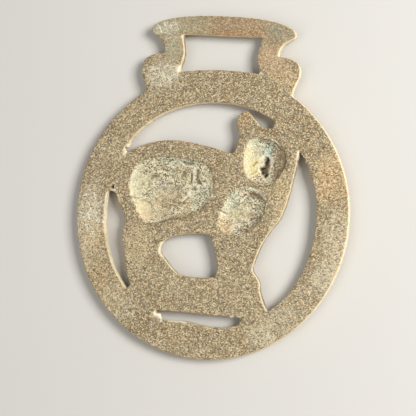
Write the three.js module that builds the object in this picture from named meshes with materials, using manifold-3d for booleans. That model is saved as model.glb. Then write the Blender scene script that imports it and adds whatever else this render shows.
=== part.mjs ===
// A cast horse brass: a round band with a strap hanger on top, and a standing heavy horse in openwork inside it.
// It lies on its face, as it is stored, so the plain back is up and the modelled front faces down.
// Millimetres, +Z up. The origin is on the surface it lies on, under the middle of the whole casting.

import * as THREE from "three";
import { mergeVertices } from "three/addons/utils/BufferGeometryUtils.js";
import Module from "manifold-3d";

const wasm = await Module();
wasm.setup();

// Band and thickness
const RING_DIAMETER = 75;
const BAND_WIDTH = 7.9;
const BAND_SQUARENESS = 0.35; // how far the band's inner edge strays from a circle, outwards on the diagonals
const EDGE_THICKNESS = 2.2; // metal where the casting is thinnest at its outline
const RELIEF_HEIGHT = 1.6; // how far the band's dome and the horse stand in front of that edge
const HOLLOW_DEPTH = 1.7; // how far the hollows go into the back

// Hanger
const HANGER_HEIGHT = 14.5; // from the top of the band to the top of the hanger
const HORN_SPAN = 40.2; // across the two horns of the top bar
const LOBE_SPAN = 44; // across the two shoulders of the hanger
const LOBE_HEIGHT = 9.2; // from the shoulder's foot to its top
const NECK_SPAN = 31.4; // across the two posts, between shoulders and horns
const BAR_HEIGHT = 5.2; // the bar over the strap slot
const SLOT_WIDTH = 22.4;
const SLOT_WAIST = 20.4; // the slot's width halfway up, where the posts bulge into it
const SLOT_HEIGHT = 9;
const SLOT_FLOOR_RISE = 0.8; // how far the slot's floor is crowned, following the band
const BAR_SLOPE = -0.028; // the top bar was cast a little askew, lower on the right

// Colours of the aged back and how it takes light
const BRASS = new THREE.MeshStandardMaterial({ color: 0x9c8763, roughness: 0.62, metalness: 0.75 });

// How finely curves are cut
const RING_SEGMENTS = 96;
const SPLINE_STEPS = 3;
const HOLLOW_SEGMENTS = 36;
const HOLLOW_ROWS = 4;
const ROD_SEGMENTS = 14;
const ROD_ROWS = 3;

const ringRadius = RING_DIAMETER / 2;
const innerRadius = ringRadius - BAND_WIDTH;
const bandMiddle = ringRadius - BAND_WIDTH / 2;
const back = EDGE_THICKNESS + RELIEF_HEIGHT;
const front = RELIEF_HEIGHT;
const CLEAR = 1; // how far cutters run past the faces that they cut

// The horse is drawn in hundredths of the band's inner radius, seen from the back, with the ring's centre at 0, 0.
const share = innerRadius / 100;

// The horse's outline, anticlockwise in pieces that meet at corners. Where it joins the band it runs on inside it.
const BASE = [[-44, -104], [0, -112], [42, -106]];
const FORE_HOOF = [[42, -106], [66, -86], [61.3, -79.7], [56.6, -70.6], [53.8, -64], [52.5, -56], [50, -51.5]];
const CHEST = [
  [50, -51.5], [46.2, -47], [45.3, -42.5], [48.6, -31.5], [51.6, -23.2], [59.5, -9.2],
  [65.5, -1], [69.2, 8], [72.4, 20], [75, 34], [77.4, 49], [78.4, 59],
];
const MUZZLE_JOIN = [[78.4, 59], [88, 65], [78, 80], [60, 90], [55.2, 83]];
const BROW = [[55.2, 83], [54, 79.2], [49.7, 77.6], [44.6, 78.4], [39.5, 82.6], [34, 88], [29.6, 92]];
const CREST = [[29.6, 92], [25, 91.2], [21.4, 86.6], [21, 80.6], [23.3, 72], [23, 63.5], [21.4, 57.4], [18.4, 54.4]];
const BACK_LINE = [
  [18.4, 54.4], [0, 59.2], [-17, 62.3], [-34, 64], [-47, 63.3], [-61, 60.2], [-74, 54.8], [-85, 48], [-100, 38],
];
const CROUP_JOIN = [[-100, 38], [-108, 27], [-106, 18], [-96, 15.2], [-90.6, 15]];
const TAIL = [
  [-90.6, 15], [-88, 10.5], [-85.2, 3.6], [-80.6, -2.2], [-77.8, -9.6], [-79.3, -20], [-78.6, -29.4],
  [-75.6, -39.4], [-73.2, -52], [-70.6, -61], [-67.9, -66],
];
const HIND_HOOF = [[-67.9, -66], [-68.4, -69], [-73, -75], [-64, -92], [-44, -104]];
const HORSE_OUTLINE = [BASE, FORE_HOOF, CHEST, MUZZLE_JOIN, BROW, CREST, BACK_LINE, CROUP_JOIN, TAIL, HIND_HOOF];

// The gap between the fore and hind legs, anticlockwise in pieces that meet at corners.
const BELLY = [
  [11.2, -54.4], [13.4, -50], [12.4, -40], [9.6, -30], [5.6, -20.6], [1.6, -17.4],
  [-15, -18.2], [-33, -22.2], [-40.6, -28.8], [-41.8, -36.6], [-35.6, -43.4], [-28.6, -50.2], [-23, -54.4],
];
const LEG_GAP_FLOOR = [[-23, -54.4], [-5, -55.6], [11.2, -54.4]];
const LEG_GAP = [BELLY, LEG_GAP_FLOOR];

// The slot under the ground, cut where the ground meets the band.
const BASE_SLOT = [
  [[37.8, -91.4], [37.8, -87], [10, -87.4], [-20, -87.2], [-41.8, -87.6]],
  [[-41.8, -87.6], [-40.4, -91.6], [-37, -95]],
  [[-37, -95], [-26, -95.6], [-14, -95], [0, -96.6], [13, -97.3], [26, -96], [35.5, -94], [37.8, -91.4]],
];

// The hollows in the back: each one's middle, and its reach from there every 30 degrees, anticlockwise from +X.
// fullness 2 is a round bowl, and more is a flatter floor with steeper walls.
const HOLLOWS = [
  { name: "barrel", at: [-37, 20], fullness: 2.8,
    reach: [41, 42.5, 32, 29.4, 32.4, 39.8, 40.2, 36.8, 38, 27.4, 27.4, 35] },
  { name: "neck", at: [48.3, 49.3], fullness: 2.2,
    reach: [20.3, 20, 19, 18, 24, 21.3, 19.6, 19.8, 20.8, 19.6, 20, 19.4] },
  { name: "shoulder", at: [32.4, 6.8], fullness: 2.3,
    reach: [20.3, 22.6, 21.8, 20.8, 18.3, 18.2, 18.6, 25, 27.2, 22.3, 19.4, 19.3] },
];

// The horse's forms as tapered rods: points along each with a half width, and how much of the relief it takes.
const FORMS = [
  { name: "barrel", proud: 0.88, along: [[-58, 22, 31], [-36, 19, 32], [-8, 20, 31]] },
  { name: "croup", proud: 0.85, along: [[-78, 30, 19], [-60, 14, 28]] },
  { name: "withers", proud: 0.75, along: [[-10, 34, 20], [14, 32, 19]] },
  { name: "shoulder", proud: 0.9, along: [[26, 26, 24], [35, 2, 21]] },
  { name: "breast", proud: 0.85, along: [[46, 22, 18], [43, 0, 15]] },
  { name: "neck", proud: 0.85, along: [[30, 28, 27], [37, 48, 19], [36, 68, 13]] },
  { name: "cheek", proud: 0.88, along: [[40, 68, 11.5], [45, 61, 12.5]] },
  { name: "head", proud: 0.82, along: [[41, 71, 10.5], [58, 57, 9], [68, 46, 7.4]] },
  { name: "muzzle", proud: 0.85, along: [[67, 45, 7.8], [68, 41, 6.8]] },
  { name: "ear", proud: 0.9, along: [[30, 78, 4.6], [27.6, 88, 2.2]] },
  { name: "near_forearm", proud: 0.95, along: [[36, -6, 14], [38, -30, 7.2]] },
  { name: "near_fore_cannon", proud: 0.8, along: [[38, -30, 6.4], [38.6, -47, 4.8]] },
  { name: "near_fore_hoof", proud: 0.85, along: [[38.8, -47, 6], [42, -58, 8.4]] },
  { name: "far_forearm", proud: 0.6, along: [[21, -12, 10], [21, -32, 5.8]] },
  { name: "far_fore_cannon", proud: 0.5, along: [[21, -32, 5.2], [20, -48, 4.2]] },
  { name: "far_fore_hoof", proud: 0.55, along: [[20, -48, 5], [21.5, -58, 6.8]] },
  { name: "near_thigh", proud: 0.92, along: [[-60, 4, 22], [-53, -18, 11], [-55, -30, 8]] },
  { name: "near_hind_cannon", proud: 0.8, along: [[-55, -30, 6.8], [-42, -46, 5.2]] },
  { name: "near_hind_hoof", proud: 0.85, along: [[-42, -46, 6.2], [-36, -57, 8.4]] },
  { name: "far_thigh", proud: 0.65, along: [[-66, -8, 13], [-66, -32, 6.6]] },
  { name: "far_hind_cannon", proud: 0.5, along: [[-66, -32, 5.6], [-61, -48, 4.6]] },
  { name: "far_hind_hoof", proud: 0.55, along: [[-61, -48, 5.4], [-58, -58, 7]] },
  { name: "tail", proud: 0.75, along: [[-86, 38, 5], [-81, 6, 6.4], [-75, -18, 6], [-73.5, -40, 5], [-70, -58, 3]] },
];

// Locks of the mane lie side by side down the crest of the neck.
const MANE = { locks: 7, from: [26, 80], to: [20, 46], lean: [10, -5], halfWidth: 3.2, proud: 0.95 };

// The ground is two low banks with tufts along them.
const GROUND = [
  { proud: 0.5, along: [[-60, -70, 9], [-20, -74, 12], [14, -70, 9]] },
  { proud: 0.4, along: [[-12, -73, 11], [34, -76, 13], [52, -72, 9]] },
];
const TUFTS = { count: 8, from: [-52, -62], to: [50, -64], height: 10, lean: 2.4, halfWidth: 3, proud: 0.7 };

// Closed solids from three.js geometries

function solidOf(geometry) {
  const bare = geometry.clone();
  bare.deleteAttribute("normal");
  bare.deleteAttribute("uv");
  const merged = mergeVertices(bare, 1e-4);
  return new wasm.Manifold(
    new wasm.Mesh({
      numProp: 3,
      vertProperties: new Float32Array(merged.attributes.position.array),
      triVerts: new Uint32Array(merged.index.array),
    }),
  );
}

function geometryOf(solid) {
  const mesh = solid.getMesh();
  const positions = new Float32Array(mesh.numVert * 3);
  for (let i = 0; i < mesh.numVert; i++) {
    positions.set(mesh.vertProperties.subarray(i * mesh.numProp, i * mesh.numProp + 3), i * 3);
  }
  const geometry = new THREE.BufferGeometry();
  geometry.setAttribute("position", new THREE.BufferAttribute(positions, 3));
  geometry.setIndex(new THREE.BufferAttribute(new Uint32Array(mesh.triVerts), 1));
  geometry.computeVertexNormals();
  return geometry;
}

function joined(solids) {
  return solids.reduce((all, one) => all.add(one));
}

// The points of an outline given as pieces that meet at corners, each piece smoothed into a spline.
function smoothed(pieces, scale) {
  const points = [];
  for (const piece of pieces) {
    const curve = new THREE.SplineCurve(piece.map(([x, y]) => new THREE.Vector2(x * scale, y * scale)));
    const steps = (piece.length - 1) * SPLINE_STEPS;
    points.push(...curve.getPoints(steps).slice(0, steps));
  }
  return points;
}

// A prism on an outline, from one height to another.
function prism(shape, bottom, top) {
  const geometry = new THREE.ExtrudeGeometry(shape, { depth: top - bottom, bevelEnabled: false, curveSegments: 12 });
  geometry.translate(0, 0, bottom);
  return solidOf(geometry);
}

// The radius at an angle of an outline that is given by its reach at equal angles.
function reachAt(reach, angle) {
  const turn = (angle / (2 * Math.PI)) * reach.length + reach.length;
  const i = Math.floor(turn);
  const [p0, p1, p2, p3] = [-1, 0, 1, 2].map((k) => reach[(i + k + reach.length) % reach.length]);
  const t = turn - i;
  return p1 + 0.5 * t * (p2 - p0 + t * (2 * p0 - 5 * p1 + 4 * p2 - p3 + t * (3 * (p1 - p2) + p3 - p0)));
}

// A hollow's cutter: open at the back, its floor rounding up into its walls.
function hollow({ at, reach, fullness }) {
  const profile = [];
  for (let i = 0; i <= HOLLOW_ROWS; i++) {
    const t = (i / HOLLOW_ROWS) * (Math.PI / 2);
    profile.push(
      new THREE.Vector2(Math.sin(t) ** (2 / fullness), back - HOLLOW_DEPTH * Math.cos(t) ** (2 / fullness)),
    );
  }
  profile.push(new THREE.Vector2(1, back + CLEAR), new THREE.Vector2(0, back + CLEAR));
  const geometry = new THREE.LatheGeometry(profile, HOLLOW_SEGMENTS).rotateX(Math.PI / 2);
  const place = geometry.attributes.position;
  for (let i = 0; i < place.count; i++) {
    const [x, y] = [place.getX(i), place.getY(i)];
    const radius = reachAt(reach, Math.atan2(y, x)) * share;
    place.setXY(i, at[0] * share + x * radius, at[1] * share + y * radius);
  }
  return solidOf(geometry);
}

// One stretch of a form: a tapered rod with round ends between two points, flattened to how far it stands proud.
function rod([x0, y0, r0], [x1, y1, r1], proud) {
  const length = Math.hypot(x1 - x0, y1 - y0);
  const profile = [];
  for (let i = 0; i <= ROD_ROWS; i++) {
    const t = (i / ROD_ROWS) * (Math.PI / 2);
    profile.push(new THREE.Vector2(r0 * Math.sin(t), -r0 * Math.cos(t)));
  }
  for (let i = 0; i <= ROD_ROWS; i++) {
    const t = (i / ROD_ROWS) * (Math.PI / 2);
    profile.push(new THREE.Vector2(r1 * Math.cos(t), length + r1 * Math.sin(t)));
  }
  profile[0].x = 0;
  profile[profile.length - 1].x = 0;
  const geometry = new THREE.LatheGeometry(profile, ROD_SEGMENTS);
  geometry.scale(share, share, (proud * RELIEF_HEIGHT) / Math.max(r0, r1));
  geometry.rotateZ(Math.atan2(y1 - y0, x1 - x0) - Math.PI / 2);
  geometry.translate(x0 * share, y0 * share, front);
  return solidOf(geometry);
}

function form({ along, proud }) {
  return joined(along.slice(1).map((end, i) => rod(along[i], end, proud)));
}

// A point part of the way from one point to another.
function between([x0, y0], [x1, y1], t) {
  return [x0 + (x1 - x0) * t, y0 + (y1 - y0) * t];
}

// Parts of the casting

// The band: flat at the back, with straight edges and a domed front.
function band() {
  const profile = [new THREE.Vector2(innerRadius, back), new THREE.Vector2(innerRadius, front)];
  const domeSteps = 8;
  for (let i = 1; i < domeSteps; i++) {
    const t = i / domeSteps;
    profile.push(new THREE.Vector2(innerRadius + BAND_WIDTH * t, front - RELIEF_HEIGHT * Math.sin(Math.PI * t)));
  }
  profile.push(
    new THREE.Vector2(ringRadius, front),
    new THREE.Vector2(ringRadius, back),
    new THREE.Vector2(innerRadius, back),
  );
  const geometry = new THREE.LatheGeometry(profile, RING_SEGMENTS).rotateX(Math.PI / 2);
  const place = geometry.attributes.position;
  for (let i = 0; i < place.count; i++) {
    const [x, y] = [place.getX(i), place.getY(i)];
    const inward = (ringRadius - Math.hypot(x, y)) / BAND_WIDTH;
    const stray = 1 - (inward * BAND_SQUARENESS * Math.cos(4 * Math.atan2(y, x))) / Math.hypot(x, y);
    place.setXY(i, x * stray, y * stray);
  }
  return solidOf(geometry);
}

// Right half of the hanger's outline from its foot on the band up to the middle of the top bar.
function hangerSide() {
  const top = ringRadius + HANGER_HEIGHT;
  const lobe = LOBE_SPAN / 2;
  const neck = NECK_SPAN / 2;
  const horn = HORN_SPAN / 2;
  const footX = lobe - 1.8;
  const lobeFoot = Math.sqrt(Math.max(0, ringRadius ** 2 - footX ** 2)) + 1;
  const lobeTop = lobeFoot + LOBE_HEIGHT;
  const footTurn = Math.asin(footX / bandMiddle);
  const foot = [];
  const footSteps = 8;
  for (let i = 0; i <= footSteps; i++) {
    const t = (footTurn * i) / footSteps;
    foot.push(new THREE.Vector2(bandMiddle * Math.sin(t), bandMiddle * Math.cos(t)));
  }
  const shoulder = new THREE.SplineCurve([
    new THREE.Vector2(footX, lobeFoot),
    new THREE.Vector2(lobe - 1, lobeFoot + 0.2 * LOBE_HEIGHT),
    new THREE.Vector2(lobe - 0.1, lobeFoot + 0.48 * LOBE_HEIGHT),
    new THREE.Vector2(lobe - 0.3, lobeFoot + 0.7 * LOBE_HEIGHT),
    new THREE.Vector2(lobe - 1.4, lobeFoot + 0.87 * LOBE_HEIGHT),
    new THREE.Vector2(lobe - 3.6, lobeFoot + 0.965 * LOBE_HEIGHT),
    new THREE.Vector2(neck, lobeTop),
  ]);
  const hornTip = top - BAR_HEIGHT + 0.6;
  const post = new THREE.SplineCurve([
    new THREE.Vector2(neck, lobeTop),
    new THREE.Vector2(neck + 0.2, lobeTop + 0.25 * (hornTip - lobeTop)),
    new THREE.Vector2(neck + 1.2, lobeTop + 0.6 * (hornTip - lobeTop)),
    new THREE.Vector2(horn - 1, hornTip - 0.8),
    new THREE.Vector2(horn, hornTip),
  ]);
  const crown = [];
  const crownSteps = 10;
  const crownFullness = 2.3;
  for (let i = 0; i <= crownSteps; i++) {
    const t = (i / crownSteps) * (Math.PI / 2);
    crown.push(
      new THREE.Vector2(
        horn * Math.cos(t) ** (2 / crownFullness),
        hornTip + (top - hornTip) * Math.sin(t) ** (2 / crownFullness),
      ),
    );
  }
  crown[crownSteps].x = 0;
  return [...foot, ...shoulder.getPoints(14), ...post.getPoints(12).slice(1), ...crown.slice(1)];
}

// The bar is askew: a height in the hanger moves with its distance from the middle, more the higher it is.
function askew(point) {
  const foot = ringRadius;
  const rise = Math.min(1, Math.max(0, (point.y - foot) / (HANGER_HEIGHT - BAR_HEIGHT)));
  return new THREE.Vector2(point.x, point.y + BAR_SLOPE * point.x * rise);
}

function hanger() {
  const right = hangerSide();
  const left = right.slice(1, -1).reverse().map((p) => new THREE.Vector2(-p.x, p.y));
  const outline = new THREE.Shape([...right, ...left].map(askew));
  return prism(outline, front, back);
}

// The strap slot: straight at the top, crowned at the bottom, its sides bulging inwards.
function strapSlot() {
  const roof = ringRadius + HANGER_HEIGHT - BAR_HEIGHT;
  const floor = roof - SLOT_HEIGHT;
  const corner = SLOT_WIDTH / 2;
  const waist = SLOT_WAIST / 2;
  const outline = [];
  const floorSteps = 8;
  for (let i = 0; i <= floorSteps; i++) {
    const t = -1 + (2 * i) / floorSteps;
    outline.push(new THREE.Vector2(corner * t, floor - SLOT_FLOOR_RISE * t * t));
  }
  const sideSteps = 6;
  for (const side of [1, -1]) {
    for (let i = 0; i <= sideSteps; i++) {
      const t = side > 0 ? i / sideSteps : 1 - i / sideSteps;
      const low = floor - SLOT_FLOOR_RISE;
      const x = corner - (corner - waist) * Math.sin(Math.PI * t) ** 1.5;
      if ((side > 0 && i > 0) || (side < 0 && i < sideSteps)) {
        outline.push(new THREE.Vector2(side * x, low + (roof - low) * t));
      }
    }
  }
  return prism(new THREE.Shape(outline.map(askew)), -CLEAR, back + CLEAR);
}

// The horse: a flat web to its outline, with its body, limbs, mane and the ground modelled on the front.
function horse() {
  const outline = new THREE.Shape(smoothed(HORSE_OUTLINE, share));
  const web = prism(outline, front, back);
  const forms = [...FORMS, ...GROUND].map(form);
  for (let i = 0; i < MANE.locks; i++) {
    const [x, y] = between(MANE.from, MANE.to, i / (MANE.locks - 1));
    const root = [x, y, MANE.halfWidth];
    const tip = [x + MANE.lean[0], y + MANE.lean[1], MANE.halfWidth / 2];
    forms.push(rod(root, tip, MANE.proud));
  }
  for (let i = 0; i < TUFTS.count; i++) {
    const [x, y] = between(TUFTS.from, TUFTS.to, i / (TUFTS.count - 1));
    const lean = i % 2 ? TUFTS.lean : -TUFTS.lean;
    forms.push(rod([x, y - TUFTS.height, TUFTS.halfWidth], [x + lean, y, TUFTS.halfWidth / 3], TUFTS.proud));
  }
  const within = prism(outline, 0, back - CLEAR);
  const gaps = [LEG_GAP, BASE_SLOT].map((gap) => prism(new THREE.Shape(smoothed(gap, share)), -CLEAR, back + CLEAR));
  return { metal: web.add(joined(forms).intersect(within)), gaps: joined(gaps) };
}

const figure = horse();
const openings = joined([figure.gaps, strapSlot(), ...HOLLOWS.map(hollow)]);
const casting = joined([band(), hanger(), figure.metal]).subtract(openings);

const brass = new THREE.Mesh(geometryOf(casting), BRASS);
brass.name = "horse_brass";
// The band's centre lies this far from the middle of the whole casting, because the hanger is on one side only.
brass.position.set(0, -HANGER_HEIGHT / 2, 0);

const part = new THREE.Group();
part.add(brass);

export default part;
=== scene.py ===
"""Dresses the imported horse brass: a rough aged casting that lies on its face, with its hollowed back up.

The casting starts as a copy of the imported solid. Small burrs are joined on, the whole is remeshed into one
skin, and that skin is smoothed, roughened, pitted and worn. Lengths in the modelling are millimetres measured
from the band's middle, with +X right and +Y towards the hanger, and the finished mesh is put into metres.
"""

import logging
import math
from dataclasses import dataclass

import bpy
import numpy as np
from mathutils import Matrix, Vector, noise


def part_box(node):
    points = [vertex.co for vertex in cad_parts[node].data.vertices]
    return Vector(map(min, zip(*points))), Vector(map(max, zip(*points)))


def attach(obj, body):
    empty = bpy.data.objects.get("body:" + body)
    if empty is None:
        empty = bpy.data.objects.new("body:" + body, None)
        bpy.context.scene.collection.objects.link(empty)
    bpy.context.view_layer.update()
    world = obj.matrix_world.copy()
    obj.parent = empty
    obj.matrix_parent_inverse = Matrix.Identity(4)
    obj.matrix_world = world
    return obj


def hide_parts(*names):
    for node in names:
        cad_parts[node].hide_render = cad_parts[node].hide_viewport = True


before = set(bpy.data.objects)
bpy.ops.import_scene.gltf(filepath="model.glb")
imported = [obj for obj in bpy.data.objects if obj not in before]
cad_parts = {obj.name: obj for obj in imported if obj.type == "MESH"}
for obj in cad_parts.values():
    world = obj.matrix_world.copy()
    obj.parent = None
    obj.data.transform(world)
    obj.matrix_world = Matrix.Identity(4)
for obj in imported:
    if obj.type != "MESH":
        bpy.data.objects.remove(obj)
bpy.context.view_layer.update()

MM = 0.001
# A hollow's marks and tints are laid out as the leaning view shows them: this far left per millimetre of depth
LEAN = 0.25
Line = tuple[tuple[float, float], ...]
Colour = tuple[float, float, float]
Paint = Colour | bpy.types.NodeSocket
log = logging.getLogger("horse_brass")


def only(obj: bpy.types.Object) -> bpy.types.Object:
    """Makes one object the only selected one, and active.

    Args:
        obj: the object that the next operators act on.

    Returns:
        The same object.
    """
    if bpy.context.object and bpy.context.object.mode != "OBJECT":
        bpy.ops.object.mode_set(mode="OBJECT")
    bpy.ops.object.select_all(action="DESELECT")
    bpy.context.view_layer.objects.active = obj
    obj.select_set(True)
    return obj


def smooth_step(value: np.ndarray, low: float, high: float) -> np.ndarray:
    """Rises smoothly from 0 at low to 1 at high.

    Args:
        value: the numbers to map.
        low: where the rise starts.
        high: where it ends, which may be under low for a fall.

    Returns:
        A share from 0 to 1 for each number.
    """
    t = np.clip((value - low) / (high - low), 0.0, 1.0)
    return t * t * (3.0 - 2.0 * t)


def ripple(points: np.ndarray, size: float, octaves: int, shift: float) -> np.ndarray:
    """Smooth noise at points.

    Args:
        points: where, in millimetres.
        size: how far apart its bumps are, in millimetres.
        octaves: how many finer layers it has.
        shift: a place in the noise, so that two ripples differ.

    Returns:
        A height from about -1 to 1 for each point.
    """
    offset = Vector((shift, -shift, 0.5 * shift))
    return np.array([noise.fractal(Vector(p) / size + offset, 1.0, 2.0, octaves) for p in points])


def speckle(points: np.ndarray, size: float, shift: float) -> np.ndarray:
    """Distance from the nearest of points scattered in the skin.

    Args:
        points: where, in millimetres.
        size: how far apart the scattered points are, in millimetres.
        shift: a place in the scatter, so that two speckles differ.

    Returns:
        The distance for each point, in shares of size.
    """
    offset = Vector((shift, shift, 0.0))
    flat = [Vector((x, y, 0.0)) / size + offset for x, y, _ in points]
    return np.array([noise.voronoi(p)[0][0] for p in flat])


class Value:
    """A number in a shader, which Python's operators extend with Math nodes."""

    def __init__(self, nodes: "NodeSet", socket: bpy.types.NodeSocket) -> None:
        """Wraps a socket of a node set."""
        self.nodes = nodes
        self.socket = socket

    def _math(self, operation: str, *operands: "Value | float") -> "Value":
        """Adds one Math node."""
        node = self.nodes.add("ShaderNodeMath", {"operation": operation}, dict(enumerate(operands)))
        return Value(self.nodes, node.outputs[0])

    def __add__(self, other: "Value | float") -> "Value":
        """Adds."""
        return self._math("ADD", self, other)

    __radd__ = __add__

    def __sub__(self, other: "Value | float") -> "Value":
        """Subtracts."""
        return self._math("SUBTRACT", self, other)

    def __rsub__(self, other: float) -> "Value":
        """Subtracts from a number."""
        return self._math("SUBTRACT", other, self)

    def __mul__(self, other: "Value | float") -> "Value":
        """Multiplies."""
        return self._math("MULTIPLY", self, other)

    __rmul__ = __mul__

    def clamped(self) -> "Value":
        """Keeps the value from 0 to 1."""
        node = self.nodes.add("ShaderNodeClamp", {}, {"Value": self})
        return Value(self.nodes, node.outputs[0])

    def step(self, low: float, high: float) -> "Value":
        """Rises smoothly from 0 to 1, or falls where high is under low.

        Args:
            low: where it is 0.
            high: where it is 1.

        Returns:
            The share.
        """
        ends = (low, high, 0.0, 1.0) if low < high else (high, low, 1.0, 0.0)
        names = ("From Min", "From Max", "To Min", "To Max")
        inputs = {"Value": self, **dict(zip(names, ends))}
        node = self.nodes.add("ShaderNodeMapRange", {"interpolation_type": "SMOOTHSTEP"}, inputs)
        return Value(self.nodes, node.outputs[0])


class NodeSet:
    """A material's nodes, added by one method, with the patterns that the casting and the floor share."""

    def __init__(self, material: bpy.types.Material) -> None:
        """Starts from a bare output node.

        Args:
            material: the material, whose nodes are cleared.
        """
        material.use_nodes = True
        self.tree = material.node_tree
        self.tree.nodes.clear()
        self.output = self.add("ShaderNodeOutputMaterial", {}, {})
        self.clouds: list[Value] = []
        self.drawn: bpy.types.NodeSocket | None = None
        coordinates = self.add("ShaderNodeTexCoord", {}, {}).outputs["Object"]
        scaled = self.add("ShaderNodeVectorMath", {"operation": "SCALE"}, {0: coordinates, "Scale": 1.0 / MM})
        self.place = scaled.outputs[0]

    def add(self, kind: str, settings: dict, inputs: dict) -> bpy.types.Node:
        """Adds a node.

        Args:
            kind: the node's type name.
            settings: its own properties, set before its sockets.
            inputs: a number, colour, socket or Value for each socket, by name or number.

        Returns:
            The node.
        """
        node = self.tree.nodes.new(kind)
        for name, setting in settings.items():
            setattr(node, name, setting)
        for name, given in inputs.items():
            socket = node.inputs[name]
            if isinstance(given, Value):
                given = given.socket
            if isinstance(given, bpy.types.NodeSocket):
                self.tree.links.new(given, socket)
            else:
                socket.default_value = given
        return node

    def attribute(self, name: str) -> Value:
        """The value of one of the mesh's own attributes."""
        node = self.add("ShaderNodeAttribute", {"attribute_name": name}, {})
        return Value(self, node.outputs["Fac"])

    def moved(self, shift: float) -> bpy.types.NodeSocket:
        """The place in another part of a pattern."""
        inputs = {0: self.place, 1: (shift, shift, shift)}
        return self.add("ShaderNodeVectorMath", {"operation": "ADD"}, inputs).outputs[0]

    def noise(self, size: float, detail: float = 2.0, roughness: float = 0.5, shift: float = 0.0) -> Value:
        """Cloudy noise whose blotches are about so many millimetres across."""
        inputs = {"Scale": 1.0 / size, "Detail": detail, "Roughness": roughness, "Vector": self.moved(shift)}
        return Value(self, self.add("ShaderNodeTexNoise", {}, inputs).outputs["Fac"])

    def hatch(self, size: float, turn: float, shift: float, stretch: float = 4.5) -> Value:
        """Noise drawn out into short strokes.

        Args:
            size: how wide the strokes are, in millimetres.
            turn: which way they run, in radians from X.
            shift: a place in the noise, so that two hatches differ.
            stretch: how many times longer than wide they are.

        Returns:
            The noise, around 0.5.
        """
        inputs = {"Vector": self.moved(shift), "Rotation": (0.0, 0.0, turn), "Scale": (stretch, 1.0, 1.0)}
        turned = self.add("ShaderNodeMapping", {"vector_type": "TEXTURE"}, inputs).outputs[0]
        inputs = {"Scale": 1.0 / size, "Detail": 2.0, "Roughness": 0.6, "Vector": turned}
        return Value(self, self.add("ShaderNodeTexNoise", {}, inputs).outputs["Fac"])

    def draw_on_back(self, back: float) -> None:
        """Makes the place on the flat back where each point's tint is drawn.

        Args:
            back: the flat back's height, in millimetres.
        """
        parts = self.add("ShaderNodeSeparateXYZ", {}, {0: self.place})
        x, y, z = (Value(self, output) for output in parts.outputs)
        self.drawn = self.add("ShaderNodeCombineXYZ", {}, {0: x + (back - z) * LEAN, 1: y}).outputs[0]

    def fray(self, place: float) -> Value:
        """One of three shared clouds that make the rims of patches ragged.

        Args:
            place: the patch's X, which picks the cloud.

        Returns:
            The cloud, around 0.5.
        """
        if not self.clouds:
            self.clouds = [self.noise(2.0, 4.0, 0.65, shift) for shift in (3.0, 17.0, 31.0)]
        return self.clouds[int(abs(place)) % 3]

    def grains(self, size: float, shift: float) -> tuple[Value, Value, Value]:
        """Sandy grains about so many millimetres across.

        Args:
            size: how far apart the grains are.
            shift: a place in the pattern, so that two layers of grains differ.

        Returns:
            Each grain's own two numbers from 0 to 1, and how far a point is from its grain's middle.
        """
        inputs = {"Vector": self.moved(shift), "Scale": 1.1 / size, "Detail": 1.0}
        swirl = self.add("ShaderNodeTexNoise", {}, inputs)
        inputs = {0: swirl.outputs["Color"], 1: (0.9 * size,) * 3, 2: self.moved(shift)}
        bent = self.add("ShaderNodeVectorMath", {"operation": "MULTIPLY_ADD"}, inputs).outputs[0]
        cell = self.add("ShaderNodeTexVoronoi", {"feature": "F1"}, {"Vector": bent, "Scale": 1.0 / size})
        parts = self.add("ShaderNodeSeparateColor", {}, {"Color": cell.outputs["Color"]})
        first, second = parts.outputs[0], parts.outputs[1]
        return Value(self, first), Value(self, second), Value(self, cell.outputs["Distance"])

    def mix(self, share: Value | float, first: Paint, second: Paint) -> bpy.types.NodeSocket:
        """A colour part of the way from the first to the second."""
        inputs = {"Factor": share, 6: self.colour(first), 7: self.colour(second)}
        return self.add("ShaderNodeMix", {"data_type": "RGBA"}, inputs).outputs[2]

    def shaded(self, colour: Paint, gain: Value) -> bpy.types.NodeSocket:
        """A colour made lighter or darker by a gain around 1."""
        inputs = {0: self.colour(colour), "Scale": gain}
        return self.add("ShaderNodeVectorMath", {"operation": "SCALE"}, inputs).outputs[0]

    @staticmethod
    def colour(given: Paint) -> Paint:
        """A colour as a socket takes it, with its alpha.

        Args:
            given: a linear colour, or a socket, which stays as it is.

        Returns:
            The colour or the socket.
        """
        if isinstance(given, (tuple, list)) and len(given) == 3:
            return (*given, 1.0)
        return given


def linear(code: int) -> Colour:
    """A screen colour as the shader's linear light.

    Args:
        code: the screen colour, as 0xRRGGBB.

    Returns:
        Its red, green and blue.
    """
    shares = ((code >> place & 0xFF) / 255.0 for place in (16, 8, 0))
    return tuple(s / 12.92 if s <= 0.04045 else ((s + 0.055) / 1.055) ** 2.4 for s in shares)


@dataclass(frozen=True)
class Bloom:
    """A soft patch of another tint on the casting, in millimetres from the band's middle."""

    x: float
    y: float
    across: float
    along: float
    tint: int
    strength: float
    soft: float = 0.35


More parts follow.
